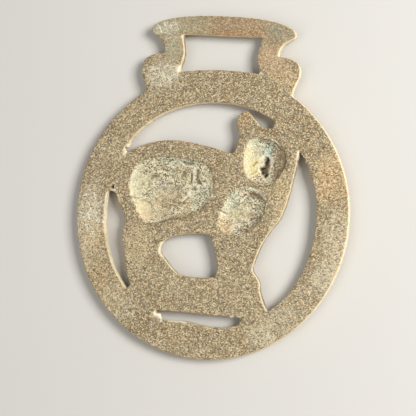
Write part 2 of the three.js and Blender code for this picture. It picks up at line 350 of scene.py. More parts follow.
# Tints on the flat of the back, where handling and damp have changed the oxide
BACK_BLOOMS = tuple(Bloom(*row) for row in (
    (-16.5, 48.9, 5, 2.4, 0xB2AE96, 0.75), (-8, 49.6, 5, 2.4, 0x989377, 0.6),
    (-13.6, 43.5, 2.6, 4.5, 0xA09E84, 0.75), (-15.5, 36, 5, 3.6, 0xBAB6A0, 0.7),
    (4.5, 48.6, 11, 3.4, 0x967A5C, 0.7), (5, 46.9, 9, 1.3, 0x966C48, 0.6), (15, 48.3, 4, 2.2, 0x888670, 0.7),
    (14, 41, 4, 4, 0xB89A7A, 0.6), (17.8, 36.8, 3.4, 3.4, 0xC2A47A, 0.5), (8.2, 25.2, 2.6, 3.2, 0x92744A, 0.7),
    (-34, -2, 4.5, 15, 0xB4AA90, 0.6), (34.5, -5, 4.5, 9, 0xAEA48A, 0.6), (33.5, 11.5, 4.5, 8, 0xB29266, 0.6),
    (32.5, -14, 3.6, 4.5, 0xCCC4A8, 0.5), (23, -26.5, 8, 5, 0xACA286, 0.5),
    (17.5, -29.5, 4.6, 3.6, 0xC6C0A4, 0.5), (-32, -0.5, 2.6, 5, 0xCEC8AC, 0.45),
    (-31.5, -8, 3.4, 4, 0xCCB282, 0.4), (-31, -14.5, 4, 4, 0xBAAA84, 0.45),
    (-25.4, -24.5, 4.6, 4, 0xBCAC88, 0.4), (-16, -27.2, 3.6, 2.6, 0x76664A, 0.5),
    (-7, -31.4, 6, 2.4, 0xA0865A, 0.4), (-26.2, 18.4, 3, 3, 0x806E52, 0.45), (-19, -9, 4.5, 7, 0xBEAC84, 0.5),
    (19.6, 5, 2.4, 9, 0xBAA67E, 0.6), (26.4, 27.4, 7, 5, 0x76664C, 0.6), (-24, 24, 7, 6, 0xA09070, 0.5),
    (15, 22.6, 3.4, 1.8, 0x746244, 0.8), (-12, -33, 7, 3.4, 0x706248, 0.45), (8, -32.6, 6, 2.6, 0x826C4C, 0.25),
    (-30, 21, 3, 4, 0x7A684E, 0.45), (-35.2, 9, 2.2, 5, 0x7C6A4C, 0.6), (-30.5, 4, 1.8, 5, 0x7C6A4C, 0.4),
    (-29, -19, 3.6, 5, 0xA48A62, 0.45), (30.4, 11, 3, 7, 0xC4A476, 0.5),
))

# Stretches of the flat back that are rubbed to short bright scratches
SCRATCHED = tuple(Bloom(*row) for row in (
    (-33, -1, 4, 8, 0xE4E2CE, 0.9), (-29, 17, 4, 5, 0xDED2B6, 0.5), (27, -22, 9, 9, 0xDAD0B4, 0.4),
    (35, -5, 3.6, 9, 0xDED0B4, 0.6), (-24, -26, 8, 6, 0xD8CEB0, 0.5), (-2, -34, 18, 3.4, 0xD4C8A6, 0.5),
    (-15.6, 36.6, 4.6, 5.4, 0xDED8C4, 0.75), (-16, 48.2, 5, 3, 0xE4E0CC, 0.85), (0, -16, 20, 6, 0xD6C8A6, 0.3),
))

# Tints in the hollows, from pale yellow crust to bare tan metal, with painted light: the crust is paler still
# on the sides that face the light, and a brown patch is a painted shadow under the shoulder hollow's upper rim
HOLLOW_CRUST_AND_LIGHT = tuple(Bloom(*row) for row in (
    (-20.6, 8.4, 3.2, 7.2, 0xCDC8A6, 0.9, 0.5), (-19.2, 0.6, 2.6, 4.6, 0xD8C89C, 0.75, 0.5),
    (-17.4, -1.8, 2.2, 1.8, 0xD0B68C, 0.55, 0.5), (-16.6, -2.6, 2.6, 1.6, 0xCEB894, 0.7),
    (-14.4, -0.8, 4.2, 2.4, 0xC4B08C, 0.7, 0.5), (-16.6, 7, 4.6, 5.8, 0xCCC098, 0.6),
    (-6, 5.6, 4.6, 3, 0xD0C49C, 0.4), (9.6, 1.6, 3.6, 3, 0xD2C8A0, 0.45), (14, 18.4, 2.6, 1.8, 0xDEDCBE, 0.6),
    (-10.5, 13.4, 8.5, 1.3, 0xB4B698, 0.6), (-13, 7, 2, 1.6, 0x969C90, 0.65),
    (-7, 10.2, 3, 2.4, 0xC2B284, 0.55), (-1.6, 10, 1.7, 2.2, 0xCEC29E, 0.6),
    (-1.4, 6.3, 2.2, 2.2, 0xCECEB4, 0.6), (-3.6, 3.4, 2.8, 2.4, 0xD2CEAC, 0.7),
    (-11, 2.6, 5.5, 2.6, 0xB8A076, 0.8), (-8.6, -0.4, 7, 1.4, 0xB8A682, 0.8),
    (-10.4, 6.2, 5.4, 3.2, 0xB4A384, 0.5, 0.5), (-5.4, 2.4, 0.9, 1.6, 0xC4A678, 0.6),
    (9.4, 15, 1.8, 6.4, 0xD8CCA0, 0.85), (11.5, 19.2, 2.2, 1.9, 0xD4D0B2, 0.6),
    (15.4, 17.5, 1.9, 3.2, 0xA8BCAA, 0.85), (12.3, 13.2, 1.9, 2.8, 0xE2D08C, 0.75),
    (12.8, 9.7, 2.8, 1.2, 0xE6D0B0, 0.7), (19.3, 14, 3.9, 8.4, 0x8A775A, 1, 0.2),
    (6.1, 4, 2.8, 3.8, 0xBABCA0, 0.8), (4.8, 1.2, 1.6, 1.4, 0xD4CEAA, 0.6), (8.2, 0.6, 2.8, 1.3, 0xC8BE92, 0.6),
    # the second patch here, at (12.8, 5.7), is a painted shadow under the shoulder hollow's upper rim
    (9.2, -2, 2.6, 1.5, 0xAEA282, 0.5), (12.8, 5.7, 2.6, 1.1, 0x9A866A, 0.75, 0.25),
    (13, 0.2, 2.2, 2.6, 0x8A806A, 0.8), (11.7, 0.7, 1.3, 0.8, 0xBEA074, 0.7),
    (4.9, -3, 2.8, 2.4, 0xB4986E, 0.85), (11, -3.2, 2.6, 1.2, 0x8C7A60, 0.8),
))


@dataclass(frozen=True)
class AgedBrass:
    """The casting's finish: khaki oxide on the back, pale crust in the hollows with painted light and shade
    over it, brass on its edges and front, and painted shade in the grooves and pits.

    The sizes are in millimetres, and the scratches' turns in radians from X.
    """

    khaki: Colour = linear(0x8A795A)
    straw: Colour = linear(0xDCCBA4)
    amber: Colour = linear(0xAC824E)
    ash: Colour = linear(0x928870)
    umber: Colour = linear(0x4E402C)
    cream: Colour = linear(0xD1CAA7)
    olive: Colour = linear(0x6E6348)
    pitch: Colour = linear(0x3A3628)
    gold: Colour = linear(0xD8B670)
    worn: Colour = linear(0xE6D4A8)
    bare: Colour = linear(0xF4E9C4)
    tarnish: Colour = linear(0x685432)
    # dark brown: painted shade along the strokes' dark marks, also laid on the openings' deeper walls
    dark_brown: Colour = linear(0x604A2E)
    # painted shade: near black in the pits, in grooves and round the pinhole
    pit_shade: Colour = linear(0x1A140E)
    # also painted highlight: the pale on the marks' ridges and on edges that face the light
    flash: Colour = linear(0xEEE4C8)
    peach: Colour = linear(0xC4AC82)
    drab: Colour = linear(0x8C8468)
    grain_size: float = 0.5
    fleck_size: float = 0.26
    scratch_width: float = 0.45
    scratch_turns: tuple[float, float] = (0.3, -1.1)
    bump_depth: float = 0.1

    def bloom(
        self, nodes: NodeSet, skin: Paint, patches: tuple[Bloom, ...], side: Value, centre_y: float,
    ) -> bpy.types.NodeSocket:
        """Tints a skin with blooms, whose rims are ragged.

        Args:
            nodes: the material's nodes.
            skin: the colour under them.
            patches: the blooms.
            side: the share of the side that they show on.
            centre_y: the band's middle in the part's frame, in millimetres.

        Returns:
            The tinted skin.
        """
        for patch in patches:
            inputs = {0: nodes.drawn, 1: (patch.x, patch.y + centre_y, 0.0)}
            off = nodes.add("ShaderNodeVectorMath", {"operation": "SUBTRACT"}, inputs).outputs[0]
            inputs = {0: off, 1: (1.0 / patch.across, 1.0 / patch.along, 0.0)}
            scaled = nodes.add("ShaderNodeVectorMath", {"operation": "MULTIPLY"}, inputs).outputs[0]
            length = nodes.add("ShaderNodeVectorMath", {"operation": "LENGTH"}, {0: scaled}).outputs["Value"]
            ragged = Value(nodes, length) + (nodes.fray(patch.x) - 0.5) * (0.2 + 2.4 * patch.soft)
            share = ragged.step(0.85 + patch.soft, 0.85 - patch.soft) * patch.strength * side
            skin = nodes.mix(share, skin, linear(patch.tint))
        return skin

    def back_skin(
        self, nodes: NodeSet, centre_y: float, grain: Value, hue: Value, fine: Value, middle: Value,
    ) -> bpy.types.NodeSocket:
        """The sandy oxide of the flat back, with pale and dark grains and stretches of bright scratches.

        Args:
            nodes: the material's nodes.
            centre_y: the band's middle in the part's frame, in millimetres.
            grain: each coarse grain's number.
            hue: each coarse grain's second number.
            fine: each fine grain's number.
            middle: how far a point is from its fine grain's middle.

        Returns:
            The colour.
        """
        back = nodes.attribute("back")
        grit = nodes.attribute("grit")
        warmth = nodes.noise(2.2, 3.0, 0.6, 61.0)
        pores = nodes.noise(0.7, 2.0, 0.6, 11.0)
        skin = nodes.mix(warmth.step(0.36, 0.64) * 0.6, self.khaki, self.ash)
        skin = self.bloom(nodes, skin, BACK_BLOOMS, back, centre_y)
        skin = nodes.mix(hue.step(0.62, 0.95) * 0.4, skin, self.amber)
        skin = nodes.mix(grain.step(0.7, 1.0) * grit * 0.16, skin, self.straw)
        skin = nodes.mix(grain.step(0.3, 0.0) * grit * 0.16, skin, self.umber)
        fleck = middle.step(0.9, 0.35) * grit * 0.88
        skin = nodes.mix(fine.step(0.56, 0.9) * fleck, skin, self.straw)
        skin = nodes.mix(fine.step(0.42, 0.1) * fleck, skin, self.umber)
        skin = nodes.mix(pores.step(0.4, 0.26) * grit * 0.32, skin, self.umber)
        across = nodes.hatch(self.scratch_width, self.scratch_turns[0], 31.0)
        along = nodes.hatch(self.scratch_width, self.scratch_turns[1], 37.0)
        scratch = (across.step(0.56, 0.69) + along.step(0.57, 0.7)).clamped()
        return self.bloom(nodes, skin, SCRATCHED, back * scratch, centre_y)

    def hollow_skin(
        self, nodes: NodeSet, centre_y: float, grain: Value, fine: Value, middle: Value, recess: Value,
    ) -> bpy.types.NodeSocket:
        """The crusted floor of the hollows: pale knobs, with dense dark specks between them.

        Args:
            nodes: the material's nodes.
            centre_y: the band's middle in the part's frame, in millimetres.
            grain: each coarse grain's number.
            fine: each fine grain's number.
            middle: how far a point is from its fine grain's middle.
            recess: from 0 on ridges to 1 in grooves.

        Returns:
            The colour.
        """
        hollow = nodes.attribute("hollow")
        crust = nodes.attribute("crust")
        mottle = nodes.noise(1.5, 4.0, 0.65, 7.0)
        tint = nodes.noise(3.4, 3.0, 0.6, 17.0)
        skin = nodes.mix(tint.step(0.42, 0.62) * 0.5, self.cream, self.peach)
        # pale crust, with painted light: paler on the sides that face the light, and a brown painted shadow
        # under the shoulder's rim
        skin = self.bloom(nodes, skin, HOLLOW_CRUST_AND_LIGHT, hollow, centre_y)
        skin = nodes.mix(mottle.step(0.46, 0.3) * crust * 0.35, skin, self.drab)
        skin = nodes.mix(fine.step(0.62, 0.9) * (0.2 + crust * 0.55), skin, self.flash)
        skin = nodes.mix(grain.step(0.34, 0.05) * crust * 0.5, skin, self.olive)
        skin = nodes.mix(fine.step(0.46, 0.26) * middle.step(0.85, 0.45) * crust, skin, self.pitch)
        skin = nodes.mix(recess.step(0.56, 0.98) * 0.6, skin, self.olive)
        return nodes.mix(recess.step(0.46, 0.1) * 0.45, skin, self.flash)

    def metal(self, nodes: NodeSet, recess: Value) -> bpy.types.NodeSocket:
        """The front's brass: rubbed where it stands proud and brown where polish can't reach.

        Args:
            nodes: the material's nodes.
            recess: from 0 on ridges to 1 in grooves.

        Returns:
            The colour.
        """
        mottle = nodes.noise(2.4, 4.0, 0.6, 13.0)
        brass = nodes.mix(mottle.step(0.42, 0.66) * 0.4, self.gold, self.tarnish)
        brass = nodes.mix(recess.step(0.5, 0.8) * 0.85, brass, self.tarnish)
        return nodes.mix(recess.step(0.48, 0.2) * 0.5, brass, self.worn)

    def build(self, centre_y: float, back: float) -> bpy.types.Material:
        """Makes the material.

        Args:
            centre_y: the band's middle in the part's frame, in millimetres.
            back: the flat back's height, in millimetres.

        Returns:
            The material.
        """
        material = bpy.data.materials.new("aged_brass")
        nodes = NodeSet(material)
        nodes.draw_on_back(back)
        names = ("hollow", "wall", "deep", "front", "pit", "pale", "dark", "recess")
        hollow, wall, deep, front, pit, pale, dark, recess = (nodes.attribute(name) for name in names)
        grain, hue, grain_middle = nodes.grains(self.grain_size, 3.0)
        fine, _, fine_middle = nodes.grains(self.fleck_size, 29.0)
        coarse = nodes.noise(1.1, 4.0, 0.65, 41.0)

        flat_skin = self.back_skin(nodes, centre_y, grain, hue, fine, fine_middle)
        crusted = self.hollow_skin(nodes, centre_y, grain, fine, fine_middle, recess)
        skin = nodes.mix(hollow, flat_skin, crusted)
        skin = nodes.shaded(skin, 1.0 + (coarse - 0.5) * 0.3)
        edge = nodes.mix(coarse.step(0.46, 0.34) * 0.45, self.bare, self.amber)
        edge = nodes.mix(coarse.step(0.54, 0.66) * 0.6, edge, self.flash)
        edge = nodes.mix(deep * 0.85, edge, self.dark_brown)
        skin = nodes.mix(wall * 0.9, skin, edge)
        skin = nodes.mix(nodes.attribute("rim") * 0.4, skin, self.amber)
        skin = nodes.mix(front, skin, self.metal(nodes, recess))
        # painted shade: brown along the grooves, and a painted shadow under the shoulder hollow's upper rim
        skin = nodes.mix(dark.clamped(), skin, self.dark_brown)
        # pale strokes: real flash and scratches, and painted highlights on ridges and on edges that face the
        # light
        skin = nodes.mix(pale.clamped(), skin, self.flash)
        # painted shade: black in the pits, in grooves and round the pinhole's rim
        skin = nodes.mix(pit.clamped(), skin, self.pit_shade)

        flat = 1.0 - front
        rough = 0.64 - front * 0.26 + (grain - 0.5) * 0.25 * flat + pit * 0.2
        metallic = 0.2 + front * 0.7 + wall * 0.1 - pit * 0.3
        knobs = (grain_middle * 0.8 + fine_middle * 0.75) * -0.7
        height = (knobs * (1.0 + hollow * 0.8) + grain * 0.3 + coarse * 0.7) * (1.0 - front * 0.85)
        inputs = {"Strength": 1.0, "Distance": self.bump_depth * MM, "Height": height}
        bump = nodes.add("ShaderNodeBump", {}, inputs)
        inputs = {"Base Color": skin, "Roughness": rough.clamped(), "Metallic": metallic.clamped()}
        inputs["Normal"] = bump.outputs[0]
        shader = nodes.add("ShaderNodeBsdfPrincipled", {}, inputs)
        nodes.tree.links.new(shader.outputs[0], nodes.output.inputs["Surface"])
        return material


@dataclass(frozen=True)
class FloorPaint:
    """The studio floor's plain matt paint."""

    colour: Colour = linear(0xC4C1BB)
    shade: Colour = linear(0xBEBBB5)
    roughness: float = 0.8

    def build(self) -> bpy.types.Material:
        """Makes the material.

        Returns:
            The material.
        """
        material = bpy.data.materials.new("studio_floor")
        nodes = NodeSet(material)
        tone = nodes.mix(nodes.noise(60.0, 2.0) * 0.3, self.colour, self.shade)
        shader = nodes.add("ShaderNodeBsdfPrincipled", {}, {"Base Color": tone, "Roughness": self.roughness})
        nodes.tree.links.new(shader.outputs[0], nodes.output.inputs["Surface"])
        return material


@dataclass(frozen=True)
class Stroke:
    """A ridge in the skin along a line, or a groove where its height is under 0, and its colour: pale flash,
    scratches and painted highlight, and brown and black painted shade.
    """

    line: Line
    width: float
    height: float
    pale: float = 0.0
    dark: float = 0.0
    pit: float = 0.0

    def reach(self, flat: np.ndarray) -> np.ndarray:
        """How much of the stroke each point takes.

        Args:
            flat: the points' X and Y.

        Returns:
            1 on the line, and falling to 0 about two widths from it.
        """
        best = np.full(len(flat), np.inf)
        stops = self.line if len(self.line) > 1 else self.line * 2
        for start, end in zip(stops, stops[1:]):
            along = np.subtract(end, start)
            off = flat - start
            t = np.clip(off @ along / max(along @ along, 1e-9), 0.0, 1.0)
            best = np.minimum(best, np.linalg.norm(off - t[:, None] * along, axis=1))
        return np.exp(-((best / (0.68 * self.width)) ** 2))


def ridges(*rows: tuple) -> tuple[Stroke, ...]:
    """Raised strokes and strokes of pale colour alone where their height is 0; the pale is partly flash and
    scratches and partly painted highlight on ridges and on edges that face the light.

    Args:
        rows: for each stroke its width, its height, how pale it is and the points along it.

    Returns:
        The strokes.
    """
    return tuple(Stroke(tuple(line), width, height, pale) for width, height, pale, *line in rows)


def grooves(*rows: tuple) -> tuple[Stroke, ...]:
    """Sunken strokes, with brown and black painted shade along them.

    Args:
        rows: for each stroke its width, its depth, how brown and how black it is and the points along it.

    Returns:
        The strokes.
    """
    return tuple(Stroke(tuple(line), width, -depth, 0.0, dark, pit) for width, depth, dark, pit, *line in rows)


# Rough marks that the mould left in the hollow behind the barrel, with painted highlight on their ridges and
# painted shade, brown and black, along their grooves
BARREL_MARKS = ridges(
    (0.22, 0.3, 0.75, (-4.5, 12.3), (-4.6, 10), (-4.5, 7.8)),
    (0.22, 0.2, 0.55, (-7.3, 7), (-5.2, 7.2), (-2.9, 7.4), (-1, 8.1)),
    (0.24, 0.16, 0.5, (-3.4, 6.6), (-2.6, 5.7)), (0.22, 0.18, 0.5, (-7.9, 12.6), (-6.6, 12.2), (-5.2, 12.2)),
    (0.26, 0.2, 0.55, (-5.3, 5.2), (-6.3, 3.9), (-7, 3.2)),
    (0.26, 0.22, 0.55, (0.7, 7.6), (0.8, 6.2), (1, 4.7)), (0.3, 0.2, 0.7, (0.1, 4.4), (1.1, 4.6)),
) + grooves(
    (0.26, 0.4, 1, 0.3, (-5.1, 10.5), (-5.15, 7.9)), (0.3, 0.42, 1, 0.35, (-3.8, 11.4), (-3.85, 7.7)),
    (0.28, 0.3, 0.95, 0.2, (-3.3, 7.8), (-2.2, 8.1), (-1.3, 8.6)),
    (0.4, 0.3, 0.5, 0.35, (-4.2, 6.8), (-3.8, 6.4)),
    (0.42, 0.3, 0.3, 0.45, (-7.8, 13.3), (-6.6, 13), (-5, 12.9)),
    (0.3, 0.22, 0.4, 0.3, (-3.9, 12.9), (-3.1, 12.4)),
    (0.24, 0.2, 0.6, 0, (-5.4, 4.4), (-6.6, 2.7), (-8.2, 2.4), (-9.6, 2.6)),
    (0.3, 0.18, 0.5, 0, (-16.6, 9), (-14.4, 9.3), (-12.4, 9.6), (-10.2, 9.2), (-9.3, 7.2)),
    (0.26, 0.2, 0.6, 0, (-11.6, 7.7), (-10.4, 7.4), (-9.5, 7.1)), (0.3, 0.16, 0.5, 0, (-11.6, 3), (-10.6, 3.4)),
    (0.3, 0.16, 0.5, 0, (-12.6, 1.3), (-10.8, 1.5), (-10, 2.2)), (0.5, 0.2, 0.3, 0.3, (-12.8, 6.2)),
    (0.45, 0.16, 0.3, 0.15, (-13.4, 7.6)), (0.26, 0.2, 0.4, 0.3, (-18.1, 7.9)),
    (0.24, 0.16, 0.5, 0, (-18.1, 9.9)), (0.26, 0.16, 0.5, 0.2, (-16.1, 11.2)),
    (0.28, 0.2, 0.4, 0.25, (-15.7, 13.8), (-14.9, 13.4)), (0.34, 0.24, 0.7, 0, (-0.1, 6.9), (0.1, 5.9)),
    (0.3, 0.18, 0.5, 0, (-0.6, 2.8), (-1.8, 1.4)), (0.34, 0.2, 0.6, 0, (-4.4, 0.2), (-4.8, -0.3)),
    (0.3, 0.2, 0.5, 0.2, (-12.6, -1.4)), (0.26, 0.18, 0.6, 0, (-6.7, 0.8)),
    (0.4, 0.18, 0.6, 0, (-22.6, 3.4), (-20.6, 3.2)),
    (0.34, 0.16, 0.4, 0, (-18.4, 2.7), (-16.4, 2), (-15.8, 0.8)),
    (0.32, 0.12, 0.6, 0, (-17.6, -3.8), (-13.8, -3), (-10.2, -1.9), (-4, -1)),
    (0.3, 0.1, 0.45, 0, (-1.4, 1.6), (-0.4, 2), (1, 3.6)),
)

# Folds, pits and rims in the two hollows behind the neck and the shoulder, with painted highlight on their
# ridges and painted shade, brown and black, in their grooves and pits
BOWL_MARKS = ridges(
    (0.3, 0.16, 0.2, (16.35, 15.2), (16.3, 12.6), (15.9, 10.6)), (0.5, 0.22, 0.3, (13.3, 12.2), (12.6, 11.6)),
    (0.3, 0.18, 0.4, (12.2, 13.3), (13.4, 13.6)), (0.22, 0.16, 0.65, (16, 20.2), (17, 19.9), (18.3, 18.7)),
    (0.4, 0.12, 0, (17.5, 18.2), (18.9, 16.2), (18.8, 14), (17.8, 12.4)),
    (0.2, 0.1, 0.4, (15.2, 8.6), (16.8, 9.1)),
    # painted highlight: the pale rim along the shoulder hollow's upper right
    (0.46, 0.24, 0.85, (11, 7.4), (12.6, 7.2), (14.2, 6.4), (15.2, 5.1)),
    (0.4, 0.14, 0.5, (2.9, 0.9), (3.8, 0.6), (4.6, 0.2)), (0.24, 0.18, 0.55, (9.8, 1), (9.4, 0.2), (9.9, -0.9)),
    (0.55, 0.16, 0.35, (10.8, -0.8)), (0.24, 0.14, 0.4, (12.4, 1.8), (13.8, 1.2)),
    (0.3, 0.14, 0.4, (8.2, -1.6), (9, -2.6)), (0.5, 0.14, 0.35, (6.6, -2.6)),
) + grooves(
    # painted shade: black in the neck hollow's deep pit
    (0.6, 1, 0, 1.5, (13.8, 12.6), (14.4, 12.9)), (0.44, 0.8, 0, 1.4, (14.1, 12), (14.3, 11.5)),
    (0.42, 0.7, 0, 1.3, (15.3, 11.2), (14.9, 10.8)), (0.44, 0.8, 0, 1.5, (14.7, 14.4), (15.4, 15.1)),
    (0.4, 0.6, 0, 1.2, (14.9, 13.8)), (1, 0.6, 1.15, 0, (15.2, 14.6), (15.1, 13.2), (14.9, 11.6)),
    (0.26, 0.14, 0.5, 0, (11.4, 13.4), (12.4, 14.4)),
    (0.26, 0.16, 0.6, 0, (16.4, 19.8), (17.6, 18.9), (18.6, 17.6)),
    (0.3, 0.12, 0.55, 0, (16, 20.6), (18.2, 19.6), (19.8, 17.4), (20.4, 15.4), (19.8, 13), (18.4, 12.4)),
    (0.36, 0.1, 0.4, 0, (18.2, 12.6), (18, 10.6), (17.4, 9.4)),
    (0.26, 0.12, 0.55, 0, (11.4, 8.1), (13.4, 8), (15.4, 8.2), (17.4, 9)), (0.3, 0.2, 0.5, 0.4, (12.9, 9.4)),
    (0.22, 0.16, 0.4, 0.4, (12.7, 10.4)), (0.24, 0.12, 0.6, 0, (14.5, 8.8)),
    (0.26, 0.16, 0.55, 0, (14, 20.2), (15.6, 20)), (0.26, 0.14, 0.4, 0, (13.6, 17.6), (14.4, 16.4)),
    (0.26, 0.14, 0.5, 0, (12, 17)), (0.24, 0.14, 0.4, 0, (11.8, 18.8), (12.4, 18)),
    (0.3, 0.12, 0.3, 0, (9.4, 21), (10, 20.6)),
    # painted shadow: brown under the shoulder hollow's upper rim
    (0.62, 0.3, 0.75, 0, (11.2, 6.2), (12.4, 6.1), (13.5, 5.6), (14.4, 5)),
    (0.3, 0.14, 0.5, 0, (9.4, 5.9), (11, 5.4)), (0.26, 0.16, 0.6, 0, (2.9, 1.5), (4.2, 1.2), (5.2, 0.6)),
    (0.34, 0.18, 0.5, 0.2, (10.9, 4.2), (11.6, 3.6)), (0.26, 0.18, 0.5, 0.25, (11.6, 2.8)),
    (0.24, 0.26, 0.5, 0.4, (10.9, -0.8)), (0.4, 0.16, 0.45, 0, (12.2, -0.2), (13.8, -0.4), (14.4, 0.6)),
    (0.3, 0.1, 0.5, 0, (12.6, -1.8), (14, -1)), (0.34, 0.14, 0.5, 0, (10.4, -3), (11.2, -3.2)),
) + (
    Stroke(((13.0, 20.9), (13.4, 19.6)), 0.5, 0.35, dark=0.35),
)

# Cast-on flash and scratches at the openings' edges, painted highlights on some edges that face the light, and
# painted shade round one pinhole's rim
EDGE_MARKS = ridges(
    (0.26, 0, 0.8, (-26.8, 5.9), (-26.8, 5.4)), (0.3, 0, 0.75, (-28.2, 5.2), (-27.2, 4.75), (-26.6, 4.8)),
    (0.85, 0, 1.15, (-12, -26.9), (-11.3, -27), (-10.8, -27.3)),
    (0.26, 0.1, 0.95, (-10.4, -27.5), (-10.2, -28.8)),
    # painted highlight: the pale line along the base slot's lower edge
    (0.4, 0, 0.7, (-8.2, -28.35), (-5.2, -28.2), (-3.2, -28.45)), (0.28, 0, 0.7, (8.7, -25.7), (9.4, -25.6)),
    (0.22, 0, 0.5, (10.7, -25.4), (11.3, -25.7), (11.3, -26.4)),
    (0.42, 0, 0.7, (-20.6, 20.6), (-22.2, 18.8), (-23.4, 17.2), (-24.6, 15.6)),
    (0.8, 0.08, 0.95, (-23.9, 17), (-24.7, 15.5), (-24.9, 14.6)), (0.3, 0, 0.6, (-25.9, 13.9), (-25.6, 13.4)),
    (0.6, 0, 1, (-11.2, 38.3), (-11.4, 37.2)), (0.26, 0, 0.6, (-11, 46.8), (-11.3, 46.2)),
    (0.3, 0, 0.6, (11.2, 37.3), (11.9, 37.2)), (0.5, 0, 0.4, (-29.1, 3.6), (-29, -2.6)),
    (0.55, 0, 0.9, (-29.1, -4)), (0.34, 0, 0.9, (-28.7, -6.1), (-28.2, -6)),
    # painted highlight: the pale line on the leg gap's wall that faces the light
    (0.42, 0, 0.85, (-11.9, -8.3), (-12.4, -10.4), (-11.5, -11.7)),
    (0.36, 0, 0.7, (-8.3, -14.4), (-6.7, -15.8)), (0.34, 0, 0.85, (23.2, 17.5), (23.1, 15.5)),
    (0.34, 0, 0.85, (23.9, 16.8), (24.6, 16.1)), (0.18, 0, 0.7, (-8, -4.1), (-6.9, -2.9), (-4.8, -4.3)),
    (0.16, 0, 0.55, (-36.4, -8.9), (-33.2, -9.4)), (0.16, 0, 0.45, (-34.8, -11.6), (-31.6, -11.2)),
    (0.26, 0, 0.8, (-35.6, -7.9), (-35.2, -8)), (0.36, 0, 0.8, (-32.4, -7.9), (-31.8, -7.7)),
    (0.16, 0, 0.5, (-35.4, 6), (-34.6, 4.6), (-33.6, 5.2)), (0.18, 0, 0.5, (35.2, -6.2), (33.4, -8.6)),
    (0.18, 0, 0.5, (27.4, -21.4), (28, -22.6)),
) + grooves(
    # painted shade: black round the pinhole's rim
    (0.52, 0, 0, 1.5, (-27.35, 5.4), (-27.3, 5.8)),
    (0.55, 0, 0.22, 0, (-28.5, -7.4), (-27.6, -10), (-26.3, -12.6)),
)


def front_marks() -> tuple[Stroke, ...]:
    """Chased lines on the front: the horse's head, body, mane, tail and hooves, and the ground's tufts.

    Returns:
        The strokes, whose heights stand out of the front.
    """
    marks = [
        Stroke(((14.4, 19.7),), 0.5, 0.26),
        Stroke(((13.4, 20.5), (14.4, 20.6), (15.2, 19.8)), 0.26, -0.2),
        Stroke(((13.6, 19.2), (14.6, 18.9)), 0.22, -0.16),
        Stroke(((20.7, 13.5),), 0.34, -0.3),
        Stroke(((18.2, 12.3), (19.6, 11.7), (20.8, 11.5)), 0.24, -0.22),
        Stroke(((12.2, 21.0), (11.2, 18.6), (12.8, 16.4), (15.0, 16.2)), 0.4, -0.18),
        Stroke(((8.5, 24.0), (8.3, 25.6)), 0.34, -0.22),
        Stroke(((5.6, 9.6), (4.4, 4.4), (6.6, -1.6)), 0.6, -0.2),
        Stroke(((13.4, 8.6), (13.8, 2.6), (12.6, -1.6)), 0.5, -0.16),
        Stroke(((-13.4, 2.8), (-11.6, -1.2), (-12.2, -5.4)), 0.6, -0.2),
        Stroke(((-18.6, 12.4), (-14.2, 9.2)), 0.7, -0.12),
    ]
    for lock in range(8):
        t = lock / 7.0
        root = Vector((8.4 - 2.0 * t, 23.0 - 9.2 * t))
        tip = root + Vector((3.4, -1.9))
        marks.append(Stroke((tuple(root), (root.x + 2.0, root.y - 0.5), tuple(tip)), 0.22, -0.16))
    for strand in range(4):
        side = (strand - 1.5) * 0.75
        points = ((-25.0, 10.6), (-23.9, 1.8), (-22.3, -5.4), (-21.8, -11.8), (-20.9, -16.2))
        line = tuple((x + side * (1.0 - 0.12 * i), y) for i, (x, y) in enumerate(points))
        marks.append(Stroke(line, 0.2, -0.15))
    for x, y, half in ((11.8, -15.2, 1.9), (6.1, -15.2, 1.5), (-11.7, -15.2, 1.9), (-17.6, -15.4, 1.5)):
        marks.append(Stroke(((x - half, y), (x + half, y - 0.2)), 0.24, -0.2))
        for blade in range(4):
            shift = (blade - 1.5) * half * 0.5
            marks.append(Stroke(((x + shift, y + 2.3), (x + shift * 1.3, y + 0.5)), 0.16, -0.12))
    for tuft in range(17):
        x = -15.2 + tuft * 1.85
        lean = 0.5 if tuft % 2 else -0.5
        marks.append(Stroke(((x, -21.6), (x + lean, -19.4 + 0.4 * math.sin(tuft))), 0.22, -0.14))
    return tuple(marks)


@dataclass(frozen=True)
class Hollow:
    """Where one of the back's hollows lies, as a squarish oval that holds it."""

    x: float
    y: float
    across: float
    along: float

    def holds(self, points: np.ndarray) -> np.ndarray:
        """Whether each point is over the hollow."""
        off = np.abs((points[:, :2] - (self.x, self.y)) / (self.across, self.along))
        return (off ** 3).sum(axis=1) < 1.0


@dataclass(frozen=True)
class Burr:
    """A small lump of flash that is one with the casting, with its half sizes."""

    x: float
    y: float
    depth: float
    across: float
    along: float
    thick: float
    turn: float = 0.0


@dataclass(frozen=True)
class Zone:
    """A soft oval where something is stronger or weaker than elsewhere."""

    x: float
    y: float
    across: float
    along: float
    strength: float

    def share(self, points: np.ndarray) -> np.ndarray:
        """The strength at each point, fading to 0 at the oval's rim."""
        off = np.linalg.norm((points[:, :2] - (self.x, self.y)) / (self.across, self.along), axis=1)
        return self.strength * smooth_step(off, 1.0, 0.4)


